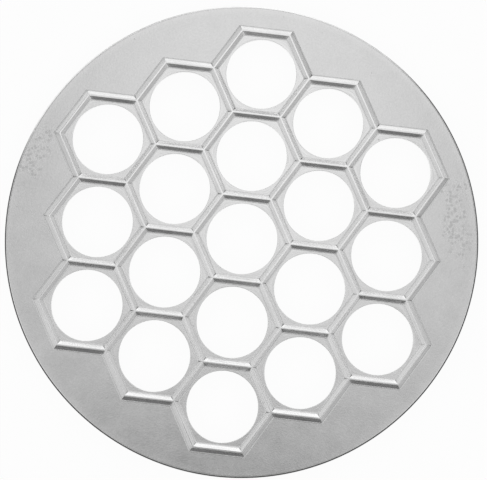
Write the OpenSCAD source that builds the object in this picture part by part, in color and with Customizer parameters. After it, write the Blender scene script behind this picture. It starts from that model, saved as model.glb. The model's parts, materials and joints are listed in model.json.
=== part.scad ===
// Dumpling mould: a round cast plate that stands on a turned-down rim.
// Six-sided ridges on its deck cut the dough, and each cell has a round hole
// for the filling. The foot of the rim is on z = 0 and the ridges point up.

/* [Cells] */
// Diameter of the hole in each cell
hole_d = 36.4; // [20:0.1:50]
// Rings of cells round the middle one
rings = 2; // [1:1:3]
// Flat ledge between a hole and the nearest foot of a ridge
ledge_w = 0.95; // [0.4:0.05:3]
// Softened edge at the top of each hole
lip_bevel = 0.2; // [0.1:0.05:0.6]
// Wide bevel under each hole, which lets a dumpling slip through
drop_bevel = 1; // [0.3:0.1:1.5]

/* [Ridges] */
// Height of the ridges above the deck
ridge_h = 1.8; // [1.6:0.1:4]
// Width of the blunt cutting edge along the top
crest_w = 0.7; // [0.2:0.05:1]
// Steepness of the ridge faces inside the cells, in degrees
inner_slope = 44; // [35:1:70]
// Steepness of the ridge faces round the outside of the cells, in degrees
outer_slope = 39; // [35:1:70]
// Radius of the hollow where an inside face meets the deck
inner_fillet = 0.6; // [0.3:0.1:1.5]
// Radius of the hollow where an outside face meets the deck
outer_fillet = 0.8; // [0.3:0.1:2]

/* [Deck] */
// Plain border from the outermost corner of the ridges to the deck's edge
border_w = 13.1; // [6:0.1:40]
// Height of the deck's top face above the table
deck_h = 9; // [7:0.1:20]
// Thickness of the deck
deck_t = 3; // [2.4:0.1:5]
// Radius of the rounded edge between the deck and the rim
edge_r = 1.1; // [0.4:0.1:2]

/* [Rim] */
// Thickness of the rim at its foot
foot_w = 3; // [2:0.1:6]
// Slope of the rim's two faces, so that the casting leaves its mould, in degrees
draft = 4; // [1:0.5:8]
// Radius of the hollow corner where the rim meets the underside of the deck
corner_r = 2; // [0.5:0.1:3]
// Radius of the rounded edges of the foot
foot_r = 0.6; // [0.2:0.1:0.9]

/* [Hidden] */

// Depth by which cutters and raised pieces reach past the face they work on
sink = 1;
// Straight steps in each hollow at the foot of a ridge, and in each rounded
// corner of the rim's section
fillet_steps = 3;
corner_steps = 5;
// Facets round each hole and round the rim
hole_facets = 72;
rim_facets = 144;

// Distance from the middle of a ridge to where its face and its hollow end,
// for a face of the given steepness and a hollow of the given radius
function flank_w(slope, radius) =
    crest_w / 2 + (ridge_h - radius * (1 - cos(slope))) / tan(slope) + radius * sin(slope);

inner_half = flank_w(inner_slope, inner_fillet);
outer_half = flank_w(outer_slope, outer_fillet);

// Distance between the middles of neighbouring cells
pitch = hole_d + 2 * (ledge_w + inner_half);
// Distance from the middle of the plate to the outermost corner of the ridges
field_r = pitch * sqrt(1 / 12 + pow(rings + 0.5, 2));
// Radius of the deck's edge before it is rounded
deck_r = field_r + border_w;
// Radius of the rim's outside at the foot, and of its inside at the foot
foot_out = deck_r + deck_h * tan(draft);
foot_in = foot_out - foot_w;
// Height of the deck's underside, and the rim's inside radius there
under_h = deck_h - deck_t;
under_in = foot_in - under_h * tan(draft);
// Length that is sure to cross a whole cell
cell_span = 2 * pitch;

// Middle of the cell in column q and row r of the slanted grid
function cell_at(q, r) = [pitch * q * sqrt(3) / 2, pitch * (r + q / 2), 0];
cells = [
    for (q = [-rings : rings], r = [-rings : rings]) if (abs(q + r) <= rings) cell_at(q, r)
];

// Points of the hollow at the foot of a ridge face, from the deck upwards, as
// [distance from the middle of the ridge, height above the deck]
function hollow(half, slope, radius) = [
    for (i = [0 : fillet_steps])
        let (turn = slope * i / fillet_steps)
        [half - radius * sin(turn), radius * (1 - cos(turn))]
];

// Rounded corner of a section as points. The two lines that meet in the corner
// face the directions from and to, and a negative radius fills a hollow corner.
function rounded(corner, radius, from, to) =
    let (
        bisector = [cos(from) + cos(to), sin(from) + sin(to)],
        middle = corner - bisector * radius / (1 + cos(to - from))
    )
    [
        for (i = [0 : corner_steps])
            let (turn = from + (to - from) * i / corner_steps)
            middle + radius * [cos(turn), sin(turn)]
    ];

// One side of a section, given as [distance from the cell's middle, height],
// and its mirror image, as a closed outline
function both_sides(half) = concat(half, [for (i = [len(half) - 1 : -1 : 0]) [-half[i].x, half[i].y]]);

// Solid that has the same section across each of a cell's three pairs of sides
module six_sided(half) {
    intersection_for (turn = [30, 90, 150])
        rotate(turn)
            rotate([90, 0, 0])
                linear_extrude(height = cell_span, center = true)
                    polygon(both_sides(half));
}

// Block as high as the ridges, with the outside face of a ridge on each side
module raised_cell() {
    foot = hollow(outer_half, outer_slope, outer_fillet);
    translate([0, 0, deck_h])
        six_sided(concat(
            [[pitch / 2 + outer_half, -sink]],
            [for (point = foot) [pitch / 2 + point.x, point.y]],
            [[pitch / 2 + crest_w / 2, ridge_h]]
        ));
}

// Space inside a cell, from the deck up past the crests of its six ridges
module cell_pocket() {
    foot = hollow(inner_half, inner_slope, inner_fillet);
    crest = [pitch / 2 - crest_w / 2, ridge_h];
    translate([0, 0, deck_h])
        six_sided(concat(
            [for (point = foot) [pitch / 2 - point.x, point.y]],
            [crest, crest + [sink / tan(inner_slope), sink]]
        ));
}

// Straight hole through the deck with its softened top edge and its bevel below
module filling_hole() {
    $fn = hole_facets;
    translate([0, 0, under_h - sink])
        cylinder(d = hole_d, h = deck_t + 2 * sink);
    translate([0, 0, deck_h - lip_bevel])
        cylinder(d1 = hole_d, d2 = hole_d + 2 * (lip_bevel + sink), h = lip_bevel + sink);
    translate([0, 0, under_h - sink])
        cylinder(d1 = hole_d + 2 * (drop_bevel + sink), d2 = hole_d, h = drop_bevel + sink);
}

// Deck and rim turned as one section, from the top round the foot to the underside
module deck_and_rim() {
    up = 90;
    outwards = draft;
    down = -90;
    inwards = draft - 180;
    rotate_extrude($fn = rim_facets)
        polygon(concat(
            [[0, deck_h]],
            rounded([deck_r, deck_h], edge_r, up, outwards),
            rounded([foot_out, 0], foot_r, outwards, down),
            rounded([foot_in, 0], foot_r, down, inwards),
            rounded([under_in, under_h], -corner_r, inwards, down),
            [[0, under_h]]
        ));
}

// The whole casting
module mold_plate() {
    color("silver")
        difference() {
            union() {
                deck_and_rim();
                for (place = cells) translate(place) raised_cell();
            }
            for (place = cells) translate(place) {
                cell_pocket();
                filling_hole();
            }
        }
}

mold_plate();
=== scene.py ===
"""Finished look of a round cast aluminium dumpling mould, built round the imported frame.

The casting is one piece: a deck with round holes, a honeycomb of cutting ridges and a
turned-down rim. All lengths are in metres and the foot of the rim is on z = 0.
"""

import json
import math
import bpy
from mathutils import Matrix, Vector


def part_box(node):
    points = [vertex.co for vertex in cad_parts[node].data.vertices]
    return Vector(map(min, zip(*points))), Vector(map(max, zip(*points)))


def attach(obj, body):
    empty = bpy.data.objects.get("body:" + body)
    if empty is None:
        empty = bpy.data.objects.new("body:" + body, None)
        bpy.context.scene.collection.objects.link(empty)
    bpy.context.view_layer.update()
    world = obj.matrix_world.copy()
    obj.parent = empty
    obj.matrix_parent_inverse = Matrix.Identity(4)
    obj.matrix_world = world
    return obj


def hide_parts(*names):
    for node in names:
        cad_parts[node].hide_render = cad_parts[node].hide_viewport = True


bl_info = {
    "name": "Dumpling Mould",
    "version": (1, 0, 0),
    "blender": (4, 5, 0),
    "location": "View3D > Sidebar > Mould",
    "description": "Builds a cast dumpling mould and the plain studio that it lies in",
    "category": "Add Mesh",
}

import bmesh
import bpy
import numpy as np
from bpy.props import FloatProperty, FloatVectorProperty, PointerProperty
from mathutils import Quaternion, Vector

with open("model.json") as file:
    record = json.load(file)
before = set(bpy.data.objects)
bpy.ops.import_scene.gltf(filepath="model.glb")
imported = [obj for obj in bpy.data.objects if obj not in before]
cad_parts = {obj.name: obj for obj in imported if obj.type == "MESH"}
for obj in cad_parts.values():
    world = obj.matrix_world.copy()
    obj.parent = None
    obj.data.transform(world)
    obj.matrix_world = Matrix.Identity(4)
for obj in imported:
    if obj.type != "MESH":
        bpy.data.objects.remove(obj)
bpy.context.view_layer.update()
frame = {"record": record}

NODE = "mold_plate"
BODY = "root"

MM = 0.001
DEG = math.pi / 180
CELL_SIDES = 6

# Steps of the grid along each side of a cell and round each of its corners
SIDE_STEPS = 13
CORNER_STEPS = 3
# Widest bend that one step of a rounded edge takes
STEP_BEND = 18 * DEG
# Rows across the plain border of the deck and across the border's underside
BORDER_ROWS = 7
UNDERSIDE_ROWS = 3
# Distance of the row that guards a flat face against the roundness beside it, and the
# length that a flat face needs for such a row
GUARD = 0.15 * MM
GUARD_ROOM = 3 * GUARD
# Points closer than this are one point
WELD = 0.001 * MM
# Edges with a sharper bend than this are shaded as edges
SHARP_BEND = 35 * DEG

# Features along a metre of the clouds, grain, mottling, raw skin and ragged edges
CLOUD_SCALE = 90.0
GRAIN_SCALE = 1400.0
MOTTLE_SCALE = 1200.0
SAND_SCALE = 900.0
RAGGED_SCALE = 150.0
# Octaves of a plain and of a rich noise
PLAIN_DETAIL = 2.0
RICH_DETAIL = 3.0
# How much smaller the fine clouds are than the wide ones, and their share in the sum
FINE_RATIO = 7.0
FINE_SHARE = 0.35
# Lines drawn along the faces
LINES = {"Length": 20 * MM, "Width": 0.4 * MM}
# Pits that stand close in the pitted patches and stray ones all over the casting
CLOSE_PITS = {"Spacing": 1.6 * MM, "Radius": 0.7, "Share": 0.5}
STRAY_PITS = {"Spacing": 7 * MM, "Radius": 0.08, "Share": 0.4}
# Share of a pit's radius that is fully dark
PIT_CORE = 0.4
# How far noise moves a patch's edge, and where the patch starts and is full, in reaches
RAGGED_SWING = 2.4
PATCH_EDGE = (1.1, 0.6)
# Stretches of a ridge's height, as shares of it, over which an effect comes or goes
HOLLOW_COMES = (0.0, 0.02)
HOLLOW_GOES = (0.3, 0.12)
CREST_COMES = (0.92, 0.99)
LINES_COME = (0.05, 0.2)
# Distances in from the deck's edge, and down from its top, in radii of the edge, over which the edge's
# painted dark shade and the raw skin come
EDGE_COMES = (0.75, 0.5)
SKIN_COMES = (1.1, 1.6)
# Distances in from the deck's edge over which a painted highlight along the edge and a faint painted
# sheen come
BACK_HIGHLIGHT_COMES = (1.3 * MM, 0.6 * MM)
PAINTED_SHEEN_COMES = (5 * MM, 1.5 * MM)
# Height over which the raw skin begins above the underside of the deck
SKIN_FADE = 0.1 * MM
# Plan direction in which the edge's painted dark shade fades and a painted highlight on the edge
# begins, and the stretch along it over which they do
AWAY = (-0.3, 0.95, 0)
LINE_ENDS = (85 * MM, 50 * MM)
# What each effect adds to the metal's shade, to its roughness and to its relief in
# millimetres. In the shade, crest is a painted highlight on the crests, hollow is painted shade in the
# hollows at the foot of the ridges, cells is painted light that makes the cells' insides brighter, worn
# is a painted highlight along the back of the deck's edge and glow is a painted sheen just inside that
# edge
SHADE = {
    "clouds": 0.3, "grain": 0.16, "lines": 0.5, "crest": 0.1, "hollow": -0.16,
    "mottle": 0.45, "worn": 0.2, "cells": 0.12, "glow": 0.05,
}
ROUGHNESS = {"clouds": 0.12, "pits": 0.15, "crest": -0.06, "hollow": 0.12, "edge": 0.3}
RELIEF = {"grain": 0.02, "lines": 0.003, "pits": -0.006, "sand": 0.12}

# The mix node's numbers for its two colours and for the colour that it gives
MIX_COLOURS = (6, 7)
MIXED_COLOUR = 2

# Pitted patches of the deck: middle, turn about Z and reach along the patch's own axes
PITTED = {
    "left": ((-111 * MM, 32 * MM, 0), (0, 0, -14 * DEG), (7 * MM, 16 * MM, 1)),
    "right": ((109 * MM, 23 * MM, 0), (0, 0, 14 * DEG), (8 * MM, 22 * MM, 1)),
}
# Soft panels of the studio, each at a tilt from overhead and a direction round the
# plate, with the half width of its glow and its brightness. Four hang overhead, and a
# low one stands near each of the six directions that the ridge faces look in.
PANELS = {
    "overhead back": (12 * DEG, 90 * DEG, 18 * DEG, 0.93),
    "overhead front": (12 * DEG, 270 * DEG, 18 * DEG, 0.23),
    "overhead left": (22 * DEG, 200 * DEG, 19 * DEG, 0.7),
    "overhead right": (22 * DEG, 345 * DEG, 19 * DEG, 0.7),
    "low right back": (88 * DEG, 30 * DEG, 25 * DEG, 0.65),
    "low back": (88 * DEG, 90 * DEG, 25 * DEG, 1.25),
    "low left back": (88 * DEG, 145 * DEG, 25 * DEG, 0.75),
    "low left front": (88 * DEG, 207 * DEG, 25 * DEG, 0.75),
    "low front": (88 * DEG, 270 * DEG, 25 * DEG, 0.12),
    "low right front": (88 * DEG, 333 * DEG, 25 * DEG, 0.55),
}
# Ring of light about half way down to the horizon: the tilts where it starts, is
# brightest and ends, and its brightness
RING = (12 * DEG, 50 * DEG, 80 * DEG)
RING_BRIGHTNESS = 1.12


class CastingSizes(bpy.types.PropertyGroup):
    """Sizes of the casting that the frame's box and openings don't give."""

    hole_d: FloatProperty(
        name="Hole diameter", description="Diameter of the hole in each cell",
        default=36.4 * MM, unit="LENGTH")
    lip_radius: FloatProperty(
        name="Lip radius", description="Radius of the softened top edge of each hole",
        default=0.2 * MM, unit="LENGTH")
    drop_bevel: FloatProperty(
        name="Bevel below", description="Width of the bevel under each hole",
        default=1 * MM, unit="LENGTH")
    bevel_softness: FloatProperty(
        name="Bevel softness", description="Radius of the two edges of the bevel under each hole",
        default=0.3 * MM, unit="LENGTH")
    ridge_h: FloatProperty(
        name="Ridge height", description="Height of the ridges above the deck",
        default=1.8 * MM, unit="LENGTH")
    crest_w: FloatProperty(
        name="Crest width", description="Width of the blunt cutting edge before it is rounded",
        default=0.7 * MM, unit="LENGTH")
    crest_softness: FloatProperty(
        name="Crest softness", description="Radius of the crest's two worn edges",
        default=0.25 * MM, unit="LENGTH")
    inner_slope: FloatProperty(
        name="Inside slope", description="Steepness of the ridge faces inside the cells",
        default=44 * DEG, unit="ROTATION")
    outer_slope: FloatProperty(
        name="Outside slope", description="Steepness of the ridge faces round the cells",
        default=39 * DEG, unit="ROTATION")
    inner_fillet: FloatProperty(
        name="Inside hollow", description="Radius where an inside face meets the deck",
        default=0.6 * MM, unit="LENGTH")
    outer_fillet: FloatProperty(
        name="Outside hollow", description="Radius where an outside face meets the deck",
        default=0.8 * MM, unit="LENGTH")
    hollow_corner: FloatProperty(
        name="Hollow corner", description="Plan radius at the foot of the ridges in a hollow corner",
        default=1.3 * MM, unit="LENGTH")
    raised_corner: FloatProperty(
        name="Raised corner", description="Plan radius at the foot of the ridges round a raised corner",
        default=0.5 * MM, unit="LENGTH")
    deck_t: FloatProperty(
        name="Deck thickness", description="Thickness of the deck",
        default=3 * MM, unit="LENGTH")
    edge_r: FloatProperty(
        name="Edge radius", description="Radius of the edge between deck and rim",
        default=1.1 * MM, unit="LENGTH")
    foot_w: FloatProperty(
        name="Foot width", description="Thickness of the rim at its foot",
        default=3 * MM, unit="LENGTH")
    draft: FloatProperty(
        name="Draft", description="Slope of the rim's two faces",
        default=4 * DEG, unit="ROTATION")
    corner_r: FloatProperty(
        name="Rim corner", description="Radius of the hollow corner inside the rim",
        default=2 * MM, unit="LENGTH")
    foot_r: FloatProperty(
        name="Foot radius", description="Radius of the rounded edges of the foot",
        default=0.6 * MM, unit="LENGTH")


class CastingFinish(bpy.types.PropertyGroup):
    """Colours of the casting, and how rough it is."""

    metal: FloatVectorProperty(
        name="Metal", description="Colour of the clean cast metal",
        default=(0.80, 0.80, 0.80), size=3, subtype="COLOR", min=0, max=1)
    pits: FloatVectorProperty(
        name="Pits", description="Colour inside the small casting pits",
        default=(0.72, 0.72, 0.72), size=3, subtype="COLOR", min=0, max=1)
    # The skin's dark colour is raw cast skin and in part painted shade on the rim's wall and under the
    # deck
    skin: FloatVectorProperty(
        name="Skin", description="Colour of the raw cast skin on the rim and under the deck",
        default=(0.36, 0.36, 0.36), size=3, subtype="COLOR", min=0, max=1)
    # The edge colour is painted shade: a dark, non-metal line along the rounded edge of the deck that
    # fades towards the back
    edge: FloatVectorProperty(
        name="Edge", description="Colour of the dark line along the rounded edge of the deck",
        default=(0.05, 0.05, 0.05), size=3, subtype="COLOR", min=0, max=1)
    satin: FloatProperty(
        name="Satin", description="Roughness of the clean metal",
        default=0.21, min=0, max=1, subtype="FACTOR")
    skin_satin: FloatProperty(
        name="Skin roughness", description="Roughness of the raw cast skin",
        default=0.5, min=0, max=1, subtype="FACTOR")


class StageSettings(bpy.types.PropertyGroup):
    """Place of the camera, and the floor."""

    camera_place: FloatVectorProperty(
        name="Camera place", description="Where the camera stands",
        default=(-0.12 * MM, -62.63 * MM, 726 * MM), size=3, unit="LENGTH", precision=5)
    camera_aim: FloatVectorProperty(
        name="Camera aim", description="Point of the deck in the middle of the picture",
        default=(0.84 * MM, -0.6 * MM, 9 * MM), size=3, unit="LENGTH", precision=5)
    camera_roll: FloatProperty(
        name="Camera roll", description="Turn of the camera about its own line of sight",
        default=7.57 * DEG, unit="ROTATION")
    lens: FloatProperty(
        name="Lens", description="Focal length in millimetres for a picture 36 mm wide",
        default=103.49, min=10)
    floor_size: FloatProperty(
        name="Floor size", description="Length of the floor's sides",
        default=6, unit="LENGTH")
    floor: FloatVectorProperty(
        name="Floor", description="Colour of the floor",
        default=(0.92, 0.92, 0.92), size=3, subtype="COLOR", min=0, max=1)
    floor_white: FloatProperty(
        name="Floor white", description="Share of the floor that is plain white, free of shadow",
        default=0.95, min=0, max=1, subtype="FACTOR")


def lattice():
    """Middles of the cells on an exact honeycomb, and the distance between neighbours.

    The record gives a box for each hole. A honeycomb of r rings has 3r(r + 1) + 1
    cells, which gives the number of rings. The corner holes lie that number of steps
    from the middle of the plate, so the furthest hole's distance over the number of
    rings is one step. Each middle is then a whole number of steps along each of the
    honeycomb's two slanting directions.
    """
    openings = frame["record"]["physics"]["openings"]
    boxes = np.array([o["box_m"] for o in openings if o["name"].startswith("filling_hole")])
    middles = boxes.mean(axis=1)[:, :2]
    rings = round((math.sqrt(12 * len(middles) - 3) - 3) / 6)
    pitch = np.linalg.norm(middles, axis=1).max() / rings
    steps = np.array([[math.sqrt(3) / 2, 0.5], [0, 1]]) * pitch
    return np.round(middles @ np.linalg.inv(steps)) @ steps, pitch


def facing(angle):
    """Unit vectors at the given angles, on a new last axis."""
    return np.stack([np.cos(angle), np.sin(angle)], axis=-1)


def turned(vectors):
    """The given plan vectors after a quarter of a turn anticlockwise."""
    return np.stack([-vectors[..., 1], vectors[..., 0]], axis=-1)


def side_normals():
    """Directions that a cell's six sides face."""
    return facing(np.radians(30 + 60 * np.arange(CELL_SIDES)))


def cell_corners(middles, pitch):
    """Corners of each cell's crest line, each where the side of the same number starts."""
    normals = side_normals()
    half_side = math.tan(math.radians(30))
    return middles[..., None, :] + (normals - turned(normals) * half_side) * pitch / 2


def field_corners(middles, pitch):
    """Corners of the outline round all the cells, anticlockwise.

    A side belongs to the outline if no cell lies beyond it. The whole outline can be
    seen from the middle of the plate, so the angle of each side's middle puts the
    sides in order, and each gives the corner where it starts.
    """
    normals = side_normals()
    beyond = middles[:, None] + normals * pitch
    gaps = np.linalg.norm(beyond[:, :, None] - middles, axis=-1).min(axis=-1)
    free = gaps > pitch / 2
    side_middles = (middles[:, None] + normals * pitch / 2)[free]
    order = np.argsort(np.arctan2(side_middles[:, 1], side_middles[:, 0]))
    return cell_corners(middles, pitch)[free][order]


def rounded_loops(corners, offsets, raised, hollow):
    """Loops that run round a polygon at given distances outside it, one for each row.

    A corner moves out along the sum of its two sides' normals over one plus their dot
    product. It is then rounded by an arc that touches both sides: about a point inside
    the polygon where the corner is raised, outside it where the corner is hollow. A
    loop holds the arc of each corner and then points along the side after it.
    """
    sides = np.roll(corners, -1, axis=0) - corners
    after = -turned(sides / np.linalg.norm(sides, axis=1)[:, None])
    before = np.roll(after, 1, axis=0)
    along = (before * after).sum(axis=1)
    mitre = (before + after) / (1 + along)[:, None]
    bend = np.arctan2((turned(before) * after).sum(axis=1), along)
    radii = np.where(bend > 0, raised[:, None], -hollow[:, None])[..., None]
    centres = corners + (offsets[:, None, None] - radii) * mitre
    share = np.arange(CORNER_STEPS) / CORNER_STEPS
    angles = np.arctan2(before[:, 1], before[:, 0])[:, None] + bend[:, None] * share
    arcs = centres[:, :, None] + radii[:, :, None] * facing(angles)
    starts = (centres + radii * after)[:, :, None]
    ends = np.roll(centres + radii * before, -1, axis=1)[:, :, None]
    share = (np.arange(SIDE_STEPS) / SIDE_STEPS)[:, None]
    lines = starts * (1 - share) + ends * share
    return np.concatenate([arcs, lines], axis=2).reshape(len(offsets), -1, 2)


def circle_loops(radii, like):
    """Circles of the given radii, with evenly spread points that keep level with a loop.

    The first point's angle is the mean of what the loop's own points would give it.
    """
    count = len(like)
    spread = 2 * math.pi * np.arange(count) / count
    angles = np.unwrap(np.arctan2(like[:, 1], like[:, 0]))
    return radii[:, None, None] * facing(spread + (angles - spread).mean())


def rounded_section(corners, radii):
    """Section through the given corners, each but the ends rounded by its radius.

    An arc starts and ends at its radius times the tangent of half the bend from its
    corner. A guard point stands on each straight beside an arc, if there is room.
    """
    corners = np.array(corners, float)
    lengths = np.linalg.norm(np.diff(corners, axis=0), axis=1)
    along = np.diff(corners, axis=0) / lengths[:, None]
    sideways = (turned(along[:-1]) * along[1:]).sum(axis=1)
    bends = np.arctan2(sideways, (along[:-1] * along[1:]).sum(axis=1))
    reaches = np.array(radii) * np.tan(np.abs(bends) / 2)
    room = lengths - np.append(0, reaches) - np.append(reaches, 0)
    points = [corners[0]] if room[0] > WELD else []
    for i, (bend, reach, radius) in enumerate(zip(bends, reaches, radii)):
        start = corners[i + 1] - along[i] * reach
        side = turned(along[i]) * math.copysign(radius, bend)
        steps = math.ceil(abs(bend) / STEP_BEND)
        angles = (bend * np.arange(steps + 1) / steps)[:, None]
        if room[i] > GUARD_ROOM:
            points.append(start - along[i] * GUARD)
        points.extend(start + side - side * np.cos(angles) - turned(side) * np.sin(angles))
        if room[i + 1] > GUARD_ROOM:
            points.append(points[-1] + along[i + 1] * GUARD)
    if room[-1] > WELD:
        points.append(corners[-1])
    return np.array(points)


def ridge_section(sizes, slope, fillet):
    """Section of a ridge face as [distance from the crest line, height above the deck].

    It starts on the deck, a little outside the hollow, and ends on the crest line.
    """
    blunt = sizes.crest_w / 2
    foot = blunt + sizes.ridge_h / math.tan(slope)
    start = foot + fillet * math.tan(slope / 2) + GUARD
    corners = [(start, 0), (foot, 0), (blunt, sizes.ridge_h), (0, sizes.ridge_h)]
    return rounded_section(corners, [fillet, sizes.crest_softness])


def hole_section(sizes):
    """Section of a hole as [radius, height above the deck], from below to the ledge."""
    radius = sizes.hole_d / 2
    flare = radius + sizes.drop_bevel
    bevel_top = sizes.drop_bevel - sizes.deck_t
    corners = [
        (flare + sizes.bevel_softness + GUARD, -sizes.deck_t), (flare, -sizes.deck_t),
        (radius, bevel_top), (radius, 0), (radius + sizes.lip_radius + GUARD, 0),
    ]
    return rounded_section(corners, [sizes.bevel_softness, sizes.bevel_softness, sizes.lip_radius])


def rim_section(sizes, deck_h, foot_out):
    """Section of the rim as [radius, height], from the deck round the foot to the underside."""
    slope = math.tan(sizes.draft)
    under_h = deck_h - sizes.deck_t
    foot_in = foot_out - sizes.foot_w
    corners = [
        (foot_out - deck_h * slope - sizes.edge_r - GUARD, deck_h),
        (foot_out - deck_h * slope, deck_h),
        (foot_out, 0), (foot_in, 0), (foot_in - under_h * slope, under_h),
        (foot_in - under_h * slope - sizes.corner_r - GUARD, under_h),
    ]
    return rounded_section(corners, [sizes.edge_r, sizes.foot_r, sizes.foot_r, sizes.corner_r])


def lifted(loops, heights):
    """Plan loops with a height for each row, as points in space."""
    levels = np.broadcast_to(np.reshape(heights, (-1, 1, 1)), loops.shape[:2] + (1,))
    return np.concatenate([loops, levels], axis=2)


def blended(first, last, rows):
    """Rows between two loops of points, without the two themselves."""
    share = (np.arange(1, rows) / rows)[:, None, None]
    return first * (1 - share) + last * share


def cell_points(sizes, corners, middle, deck_h):
    """Rows of a cell from the underside up through the hole and out to the crest line."""
    ridge = ridge_section(sizes, sizes.inner_slope, sizes.inner_fillet)
    hole = hole_section(sizes)
    softness = sizes.hollow_corner * (1 - ridge[:, 1] / sizes.ridge_h)
    under = rounded_loops(corners, np.zeros(1), np.zeros(1), np.zeros(1))
    slopes = rounded_loops(corners, -ridge[:, 0], softness, softness)
    rounds = circle_loops(hole[:, 0], slopes[0] - middle) + middle
    return np.concatenate([
        lifted(under, deck_h - sizes.deck_t),
        lifted(rounds, deck_h + hole[:, 1]),
        lifted(slopes, deck_h + ridge[:, 1]),
    ])


def border_points(sizes, corners, deck_h, foot_out):
    """Rows of the border from the outline's crest line over the rim to the underside."""
    ridge = ridge_section(sizes, sizes.outer_slope, sizes.outer_fillet)[::-1]
    rim = rim_section(sizes, deck_h, foot_out)
    low = 1 - ridge[:, 1] / sizes.ridge_h
    slopes = rounded_loops(corners, ridge[:, 0], sizes.raised_corner * low, sizes.hollow_corner * low)
    under = rounded_loops(corners, np.zeros(1), np.zeros(1), np.zeros(1))
    face = lifted(slopes, deck_h + ridge[:, 1])
    edge = lifted(circle_loops(rim[:, 0], slopes[-1]), rim[:, 1])
    back = lifted(under, deck_h - sizes.deck_t)
    return np.concatenate([
        face, blended(face[-1:], edge[:1], BORDER_ROWS),
        edge, blended(edge[-1:], back, UNDERSIDE_ROWS), back,
    ])


def stack_faces(rows, columns):
    """Quads between neighbouring rows of closed loops, and the grid cell of each corner.

    Each quad goes up a row first and along the loop after that, so that it faces
    outwards where the next row lies further from the middle and the loop is
    anticlockwise.
    """
    row, column = np.mgrid[:rows - 1, :columns]
    grid = np.stack([
        np.stack([row, row + 1, row + 1, row], axis=-1),
        np.stack([column, column, column + 1, column + 1], axis=-1),
    ], axis=-1).reshape(-1, 4, 2)
    return grid[..., 0] * columns + grid[..., 1] % columns, grid


def lengths_along(points, axis):
    """Distance walked along an axis of a grid of points, from its first point."""
    steps = np.linalg.norm(np.diff(points, axis=axis), axis=-1)
    start = np.zeros_like(np.take(steps, [0], axis=axis))
    return np.cumsum(np.concatenate([start, steps], axis=axis), axis=axis)


def surface_map(stack, grid, shift):
    """Two coordinates in metres for each corner of each quad: along and across the loops."""
    closed = np.concatenate([stack, stack[:, :1]], axis=1)
    along = lengths_along(closed, 1).mean(axis=0)
    over = lengths_along(stack, 0).mean(axis=1)
    return np.stack([along[grid[..., 1]] + shift, over[grid[..., 0]]], axis=-1)


def casting_mesh(sizes):
    """Mesh of the whole casting, from a stack of loops for each cell and one for the border."""
    low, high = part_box(NODE)
    deck_h = high.z - sizes.ridge_h
    middles, pitch = lattice()
    corners = cell_corners(middles, pitch)
    stacks = [cell_points(sizes, c, m, deck_h) for c, m in zip(corners, middles)]
    stacks.append(border_points(sizes, field_corners(middles, pitch), deck_h, high.x))
    points, quads, maps = [], [], []
    for stack in stacks:
        faces, grid = stack_faces(*stack.shape[:2])
        quads.append(faces + sum(len(p) for p in points))
        maps.append(surface_map(stack, grid, len(maps) * pitch * CELL_SIDES))
        points.append(stack.reshape(-1, 3))
    mesh = bpy.data.meshes.new("mould_casting")
    mesh.from_pydata(np.concatenate(points).tolist(), [], np.concatenate(quads).tolist())
    layer = mesh.uv_layers.new(name="lengths")
    layer.data.foreach_set("uv", np.concatenate(maps).astype(np.float32).ravel())
    close_seams(mesh)
    mark_rise(mesh, deck_h, sizes.ridge_h)
    mesh.polygons.foreach_set("use_smooth", np.ones(len(mesh.polygons), bool))
    mesh.set_sharp_from_angle(angle=SHARP_BEND)
    return mesh


def close_seams(mesh):
    """Joins the stacks where they meet. The mesh has to be closed afterwards."""
    work = bmesh.new()
    work.from_mesh(mesh)
    bmesh.ops.remove_doubles(work, verts=work.verts, dist=WELD)
    closed = all(edge.is_manifold for edge in work.edges)
    work.to_mesh(mesh)
    work.free()
    if not closed:
        raise RuntimeError("the casting has an open seam")


def mark_rise(mesh, deck_h, ridge_h):
    """Stores how far each point is up a ridge, as a share of the ridge's height."""
    places = np.empty(len(mesh.vertices) * 3, np.float32)
    mesh.vertices.foreach_get("co", places)
    layer = mesh.attributes.new("rise", "FLOAT", "POINT")
    layer.data.foreach_set("value", np.clip((places[2::3] - deck_h) / ridge_h, 0, 1))


def add_node(tree, kind, inputs=None, **settings):
    """New node with its settings, and its inputs by name or number as values or sockets."""
    node = tree.nodes.new(kind)
    for name, value in settings.items():
        setattr(node, name, value)
    for key, value in (inputs or {}).items():
        if isinstance(value, bpy.types.NodeSocket):
            tree.links.new(value, node.inputs[key])
        else:
            node.inputs[key].default_value = value
    return node


def maths(tree, operation, *values):
    """Output of a maths node on the given values or sockets."""
    return add_node(tree, "ShaderNodeMath", dict(enumerate(values)), operation=operation).outputs[0]


def vector_maths(tree, operation, *values):
    """Outputs of a vector maths node on the given vectors or sockets."""
    return add_node(tree, "ShaderNodeVectorMath", dict(enumerate(values)), operation=operation).outputs


def swing(tree, value):
    """How far a value about 0.5 is from it."""
    return maths(tree, "SUBTRACT", value, 0.5)


def total(tree, first, *others):
    """Sum of values or sockets."""
    for other in others:
        first = maths(tree, "ADD", first, other)
    return first


def weighted(tree, start, effects, weights):
    """Start value plus each effect that has a weight, times its weight."""
    parts = [maths(tree, "MULTIPLY", effects[name], weight) for name, weight in weights.items()]
    return total(tree, start, *parts)


def ramp(tree, value, start, end, low=0.0, high=1.0):
    """Smooth step that goes from low at start to high at end."""
    limits = {"Value": value, "From Min": start, "From Max": end, "To Min": low, "To Max": high}
    return add_node(tree, "ShaderNodeMapRange", limits, interpolation_type="SMOOTHSTEP").outputs[0]


def noise(tree, vector, scale, detail=PLAIN_DETAIL):
    """Value of a noise, about 0.5, whose features are one over the scale in size."""
    inputs = {"Vector": vector, "Scale": scale, "Detail": detail}
    return add_node(tree, "ShaderNodeTexNoise", inputs).outputs[0]


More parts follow.
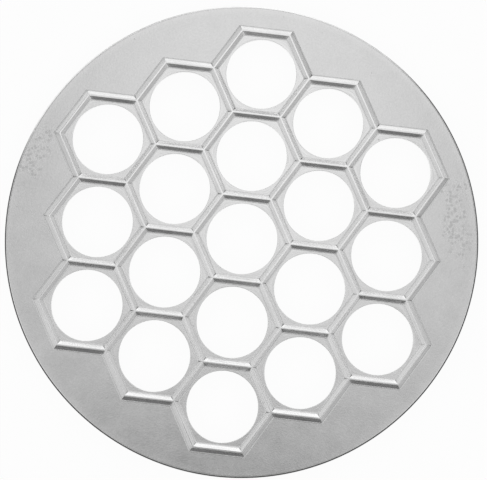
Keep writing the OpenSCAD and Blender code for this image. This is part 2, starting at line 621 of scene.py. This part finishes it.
def blend(tree, share, first, second):
    """Colour that goes from the first to the second as the share goes from 0 to 1."""
    node = add_node(tree, "ShaderNodeMix", {0: share}, data_type="RGBA")
    for number, colour in zip(MIX_COLOURS, (first, second)):
        if isinstance(colour, bpy.types.NodeSocket):
            tree.links.new(colour, node.inputs[number])
        else:
            node.inputs[number].default_value = (*colour, 1)
    return node.outputs[MIXED_COLOUR]


def new_group(name, inputs, output):
    """Shader node group with float or vector inputs and one value, and its end sockets."""
    kinds = {"float": "NodeSocketFloat", "vector": "NodeSocketVector"}
    tree = bpy.data.node_groups.new(name, "ShaderNodeTree")
    for label, kind in inputs.items():
        tree.interface.new_socket(name=label, in_out="INPUT", socket_type=kinds[kind])
    tree.interface.new_socket(name=output, in_out="OUTPUT", socket_type=kinds["float"])
    given = tree.nodes.new("NodeGroupInput").outputs
    return tree, given, tree.nodes.new("NodeGroupOutput").inputs[0]


def place_group(tree, group, inputs):
    """Value of a group that stands in a tree with the given inputs."""
    return add_node(tree, "ShaderNodeGroup", inputs, node_tree=group).outputs[0]


def clouds_group():
    """Group for the cloudy unevenness of cast metal: two sizes of soft noise, about 0.5."""
    tree, given, result = new_group("cast_clouds", {"Vector": "vector", "Scale": "float"}, "Shade")
    wide = noise(tree, given["Vector"], given["Scale"], RICH_DETAIL)
    fine = noise(tree, given["Vector"], maths(tree, "MULTIPLY", given["Scale"], FINE_RATIO))
    wide = maths(tree, "MULTIPLY", wide, 1 - FINE_SHARE)
    tree.links.new(maths(tree, "MULTIPLY_ADD", fine, FINE_SHARE, wide), result)
    return tree


def lines_group():
    """Group for fine lines drawn along a face: noise on a map over a line's length and width."""
    inputs = {"Map": "vector", "Length": "float", "Width": "float"}
    tree, given, result = new_group("drawn_lines", inputs, "Shade")
    size = {"X": given["Length"], "Y": given["Width"], "Z": 1.0}
    size = add_node(tree, "ShaderNodeCombineXYZ", size).outputs[0]
    squeezed = vector_maths(tree, "DIVIDE", given["Map"], size)["Vector"]
    tree.links.new(noise(tree, squeezed, 1.0), result)
    return tree


def pits_group():
    """Group for scattered round pits, at most one in each cell of a random pattern.

    A pit is there where its cell's random value is under the share. It fades out at its
    radius, which is measured in cells.
    """
    inputs = {"Vector": "vector", "Spacing": "float", "Radius": "float", "Share": "float"}
    tree, given, result = new_group("casting_pits", inputs, "Pits")
    scale = maths(tree, "DIVIDE", 1.0, given["Spacing"])
    cells = add_node(tree, "ShaderNodeTexVoronoi", {"Vector": given["Vector"], "Scale": scale})
    chance = add_node(tree, "ShaderNodeSeparateColor", {0: cells.outputs["Color"]}).outputs[0]
    kept = maths(tree, "LESS_THAN", chance, given["Share"])
    core = maths(tree, "MULTIPLY", given["Radius"], PIT_CORE)
    pits = ramp(tree, cells.outputs["Distance"], given["Radius"], core)
    tree.links.new(maths(tree, "MULTIPLY", kept, pits), result)
    return tree


def patch_group():
    """Group for a patch with a ragged edge: 1 near its middle and 0 beyond its reach.

    The distance from the middle is taken along the turned patch's own axes, in lengths
    of its reach, and noise moves the place of the edge.
    """
    inputs = {"Vector": "vector", "Middle": "vector", "Turn": "vector", "Reach": "vector"}
    tree, given, result = new_group("ragged_patch", inputs, "Mask")
    inputs = {
        "Vector": given["Vector"], "Location": given["Middle"],
        "Rotation": given["Turn"], "Scale": given["Reach"],
    }
    own = add_node(tree, "ShaderNodeMapping", inputs, vector_type="TEXTURE").outputs[0]
    ragged = swing(tree, noise(tree, given["Vector"], RAGGED_SCALE, RICH_DETAIL))
    straight = vector_maths(tree, "LENGTH", own)["Value"]
    distance = maths(tree, "MULTIPLY_ADD", ragged, RAGGED_SWING, straight)
    tree.links.new(ramp(tree, distance, *PATCH_EDGE), result)
    return tree


def panel_group():
    """Group for a soft panel of the studio, by the direction that is looked in.

    The glow is a smooth step of the cosine between the two directions, from the cosine
    of the panel's half width to 1, times the brightness.
    """
    inputs = {"Direction": "vector", "Middle": "vector", "Edge": "float", "Brightness": "float"}
    tree, given, result = new_group("soft_panel", inputs, "Light")
    cosine = vector_maths(tree, "DOT_PRODUCT", given["Direction"], given["Middle"])["Value"]
    tree.links.new(ramp(tree, cosine, given["Edge"], 1.0, 0.0, given["Brightness"]), result)
    return tree


def ring_group():
    """Group for the ring of light, by the direction that is looked in.

    The glow is a smooth step up to the cosine of the brightest tilt, times one down from
    it, times the brightness.
    """
    inputs = {"Direction": "vector", "Brightness": "float"}
    tree, given, result = new_group("ring_of_light", inputs, "Light")
    rise = add_node(tree, "ShaderNodeSeparateXYZ", {0: given["Direction"]}).outputs["Z"]
    start, middle, end = (math.cos(tilt) for tilt in RING)
    inner = ramp(tree, rise, start, middle)
    outer = ramp(tree, rise, end, middle, 0.0, given["Brightness"])
    tree.links.new(maths(tree, "MULTIPLY", inner, outer), result)
    return tree


def new_material(name):
    """Material with nodes, with its tree and its shader."""
    material = bpy.data.materials.new(name)
    material.use_nodes = True
    return material, material.node_tree, material.node_tree.nodes["Principled BSDF"]


def ridge_effects(tree):
    """Masks of the hollows, which carry painted shade, of the crests, which carry a painted highlight,
    of the cells' insides, which are painted brighter, and the drawn lines.

    The map runs round one cell after the other and then round the border, so a point
    is inside a cell if its first coordinate is under the length round all the cells.
    The lines fade out on the border, where it is flat.
    """
    middles, pitch = lattice()
    lengths = add_node(tree, "ShaderNodeUVMap", uv_map="lengths").outputs[0]
    rise = add_node(tree, "ShaderNodeAttribute", attribute_name="rise").outputs["Fac"]
    along = add_node(tree, "ShaderNodeSeparateXYZ", {0: lengths}).outputs["X"]
    in_cell = maths(tree, "LESS_THAN", along, len(middles) * pitch * CELL_SIDES)
    drawn = maths(tree, "MAXIMUM", in_cell, ramp(tree, rise, *LINES_COME))
    lines = swing(tree, place_group(tree, lines_group(), {"Map": lengths, **LINES}))
    comes, goes = (ramp(tree, rise, *stretch) for stretch in (HOLLOW_COMES, HOLLOW_GOES))
    return {
        # Painted shade in the hollows, a painted highlight on the crests and painted light inside the
        # cells
        "hollow": maths(tree, "MULTIPLY", comes, goes),
        "crest": ramp(tree, rise, *CREST_COMES),
        "cells": in_cell,
        "lines": maths(tree, "MULTIPLY", lines, drawn),
    }


def pit_effects(tree, place):
    """Mottling of the pitted patches, and the mask of the pits in and outside them."""
    patch = patch_group()
    pits = pits_group()
    pitted = maths(tree, "MAXIMUM", *[
        place_group(tree, patch, {"Vector": place, "Middle": middle, "Turn": turn, "Reach": reach})
        for middle, turn, reach in PITTED.values()
    ])
    close, stray = (
        place_group(tree, pits, {"Vector": place, **kind}) for kind in (CLOSE_PITS, STRAY_PITS))
    return {
        "mottle": maths(tree, "MULTIPLY", swing(tree, noise(tree, place, MOTTLE_SCALE)), pitted),
        "pits": maths(tree, "MAXIMUM", maths(tree, "MULTIPLY", close, pitted), stray),
    }


def edge_effects(tree, place, sizes):
    """Masks of the edge's painted dark shade, of the painted highlight along its back, of the painted
    sheen inside it and of the raw skin.

    The raw skin lies below the rounded edge on the rim and on the underside of the deck; its darkness
    is raw skin and in part painted shade.
    """
    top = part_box(NODE)[1]
    deck_h = top.z - sizes.ridge_h
    deck_r = top.x - deck_h * math.tan(sizes.draft)
    under_h = deck_h - sizes.deck_t
    height = add_node(tree, "ShaderNodeSeparateXYZ", {0: place}).outputs["Z"]
    in_plan = vector_maths(tree, "MULTIPLY", place, (1, 1, 0))["Vector"]
    radius = vector_maths(tree, "LENGTH", in_plan)["Value"]
    away = vector_maths(tree, "DOT_PRODUCT", place, AWAY)["Value"]
    outside = ramp(tree, radius, *[deck_r - share * sizes.edge_r for share in EDGE_COMES])
    back_highlight = ramp(tree, radius, *[deck_r - distance for distance in BACK_HIGHLIGHT_COMES])
    low = ramp(tree, height, *[deck_h - share * sizes.edge_r for share in SKIN_COMES])
    under = ramp(tree, height, under_h + SKIN_FADE, under_h)
    return {
        # Painted shade along the front of the edge, a painted highlight along its back and a painted
        # sheen just inside it
        "edge": maths(tree, "MULTIPLY", outside, ramp(tree, away, *LINE_ENDS)),
        "worn": maths(tree, "MULTIPLY", back_highlight, ramp(tree, away, *reversed(LINE_ENDS))),
        "glow": ramp(tree, radius, *[deck_r - distance for distance in PAINTED_SHEEN_COMES]),
        "skin": maths(tree, "MAXIMUM", maths(tree, "MULTIPLY", outside, low), under),
    }


def cast_material(sizes, finish):
    """Satin cast aluminium with drawn ridges, pitted patches and a raw skin on the rim, with painted
    shade and highlights on the hollows, crests, cells and edge.
    """
    material, tree, shader = new_material("satin_cast_aluminium")
    place = add_node(tree, "ShaderNodeTexCoord").outputs["Object"]
    clouds = place_group(tree, clouds_group(), {"Vector": place, "Scale": CLOUD_SCALE})
    effects = {
        "clouds": swing(tree, clouds), "grain": swing(tree, noise(tree, place, GRAIN_SCALE)),
        **ridge_effects(tree), **pit_effects(tree, place), **edge_effects(tree, place, sizes),
    }
    skin, edge = effects["skin"], effects["edge"]
    effects["sand"] = maths(tree, "MULTIPLY", noise(tree, place, SAND_SCALE, RICH_DETAIL), skin)

    # The shade and the edge colour carry painted light: highlights on the crests and the back of the
    # edge, a sheen inside the edge, brighter cells, shade in the hollows and a dark line at the front
    # of the edge
    shade = {0: tuple(finish.metal), "Scale": weighted(tree, 1.0, effects, SHADE)}
    metal = add_node(tree, "ShaderNodeVectorMath", shade, operation="SCALE").outputs["Vector"]
    colour = blend(tree, effects["pits"], metal, finish.pits)
    colour = blend(tree, edge, colour, finish.edge)
    tree.links.new(blend(tree, skin, colour, finish.skin), shader.inputs["Base Color"])

    rough = weighted(tree, finish.satin, effects, ROUGHNESS)
    rough = maths(tree, "MULTIPLY_ADD", skin, finish.skin_satin - finish.satin, rough)
    tree.links.new(rough, shader.inputs["Roughness"])
    tree.links.new(maths(tree, "SUBTRACT", 1.0, edge), shader.inputs["Metallic"])

    relief = weighted(tree, 0.0, effects, RELIEF)
    bump = add_node(tree, "ShaderNodeBump", {"Height": relief, "Distance": MM})
    tree.links.new(bump.outputs[0], shader.inputs["Normal"])
    return material


def floor_material(stage):
    """White floor: mostly its own white to the camera and to mirrors, and some real shade."""
    material, tree, shader = new_material("white_floor")
    shader.inputs["Base Color"].default_value = (*stage.floor, 1)
    shader.inputs["Roughness"].default_value = 1
    shader.inputs["Specular IOR Level"].default_value = 0
    rays = add_node(tree, "ShaderNodeLightPath").outputs
    seen = maths(tree, "MAXIMUM", rays["Is Camera Ray"], rays["Is Glossy Ray"])
    seen = maths(tree, "MAXIMUM", seen, rays["Is Transmission Ray"])
    share = maths(tree, "MULTIPLY", seen, stage.floor_white)
    white = add_node(tree, "ShaderNodeEmission", {"Strength": 1.0}).outputs[0]
    mix = add_node(tree, "ShaderNodeMixShader", {0: share, 1: shader.outputs[0], 2: white})
    tree.links.new(mix.outputs[0], tree.nodes["Material Output"].inputs["Surface"])
    return material


def studio_world():
    """World that is white to the camera and lights the casting with the soft panels."""
    world = bpy.data.worlds.new("studio")
    world.use_nodes = True
    tree = world.node_tree
    lit = tree.nodes["Background"]
    lit.inputs["Color"].default_value = (1, 1, 1, 1)
    towards = add_node(tree, "ShaderNodeTexCoord").outputs["Generated"]
    panel = panel_group()
    ring = {"Direction": towards, "Brightness": RING_BRIGHTNESS}
    lights = [place_group(tree, ring_group(), ring)]
    for tilt, turn, half_width, brightness in PANELS.values():
        across = math.sin(tilt)
        middle = (across * math.cos(turn), across * math.sin(turn), math.cos(tilt))
        lights.append(place_group(tree, panel, {
            "Direction": towards, "Middle": middle,
            "Edge": math.cos(half_width), "Brightness": brightness,
        }))
    tree.links.new(total(tree, *lights), lit.inputs["Strength"])
    white = add_node(tree, "ShaderNodeBackground", {"Color": (1, 1, 1, 1), "Strength": 1.0})
    seen = add_node(tree, "ShaderNodeLightPath").outputs["Is Camera Ray"]
    mix = add_node(tree, "ShaderNodeMixShader", {0: seen, 1: lit.outputs[0], 2: white.outputs[0]})
    tree.links.new(mix.outputs[0], tree.nodes["World Output"].inputs["Surface"])
    return world


def studio_camera(stage):
    """Camera at its place, with its sight on the aim and rolled about it."""
    camera = bpy.data.objects.new("camera", bpy.data.cameras.new("camera"))
    camera.data.lens = stage.lens
    camera.location = stage.camera_place
    sight = Vector(stage.camera_aim) - Vector(stage.camera_place)
    camera.rotation_mode = "QUATERNION"
    roll = Quaternion((0, 0, 1), stage.camera_roll)
    camera.rotation_quaternion = sight.to_track_quat("-Z", "Y") @ roll
    return camera


class MOULD_OT_casting(bpy.types.Operator):
    """Build the casting with its ridges, holes and rim"""

    bl_idname = "mould.casting"
    bl_label = "Casting"

    def execute(self, context):
        scene = context.scene
        mesh = casting_mesh(scene.mould_sizes)
        mesh.materials.append(cast_material(scene.mould_sizes, scene.mould_finish))
        piece = bpy.data.objects.new("mould_casting", mesh)
        scene.collection.objects.link(piece)
        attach(piece, BODY)
        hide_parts(NODE)
        return {"FINISHED"}


class MOULD_OT_stage(bpy.types.Operator):
    """Set up the floor, the studio light and the camera"""

    bl_idname = "mould.stage"
    bl_label = "Stage"

    def execute(self, context):
        scene = context.scene
        stage = scene.mould_stage
        reach = stage.floor_size / 2
        mesh = bpy.data.meshes.new("floor")
        corners = [(-reach, -reach, 0), (reach, -reach, 0), (reach, reach, 0), (-reach, reach, 0)]
        mesh.from_pydata(corners, [], [(0, 1, 2, 3)])
        mesh.materials.append(floor_material(stage))
        floor = bpy.data.objects.new("floor", mesh)
        scene.collection.objects.link(floor)
        scene.world = studio_world()
        scene.camera = studio_camera(stage)
        scene.collection.objects.link(scene.camera)
        scene.view_settings.view_transform = "Standard"
        return {"FINISHED"}


class MOULD_PT_panel(bpy.types.Panel):
    """Sizes, finish and stage of the mould, and the buttons that build it"""

    bl_idname = "MOULD_PT_panel"
    bl_label = "Dumpling Mould"
    bl_space_type = "VIEW_3D"
    bl_region_type = "UI"
    bl_category = "Mould"

    def draw(self, context):
        scene = context.scene
        for operator, settings in (
            (MOULD_OT_casting, (scene.mould_sizes, scene.mould_finish)),
            (MOULD_OT_stage, (scene.mould_stage,)),
        ):
            box = self.layout.box()
            box.operator(operator.bl_idname)
            for group in settings:
                for name in group.__annotations__:
                    box.prop(group, name)


CLASSES = (
    CastingSizes, CastingFinish, StageSettings, MOULD_OT_casting, MOULD_OT_stage, MOULD_PT_panel)


def register():
    """Registers the classes and gives the scene its settings."""
    for cls in CLASSES:
        bpy.utils.register_class(cls)
    bpy.types.Scene.mould_sizes = PointerProperty(type=CastingSizes)
    bpy.types.Scene.mould_finish = PointerProperty(type=CastingFinish)
    bpy.types.Scene.mould_stage = PointerProperty(type=StageSettings)


def unregister():
    """Takes the settings and the classes away again."""
    del bpy.types.Scene.mould_stage
    del bpy.types.Scene.mould_finish
    del bpy.types.Scene.mould_sizes
    for cls in reversed(CLASSES):
        bpy.utils.unregister_class(cls)


def main():
    """Builds the casting and the stage."""
    register()
    bpy.ops.mould.casting()
    bpy.ops.mould.stage()


if __name__ == "__main__":
    main()
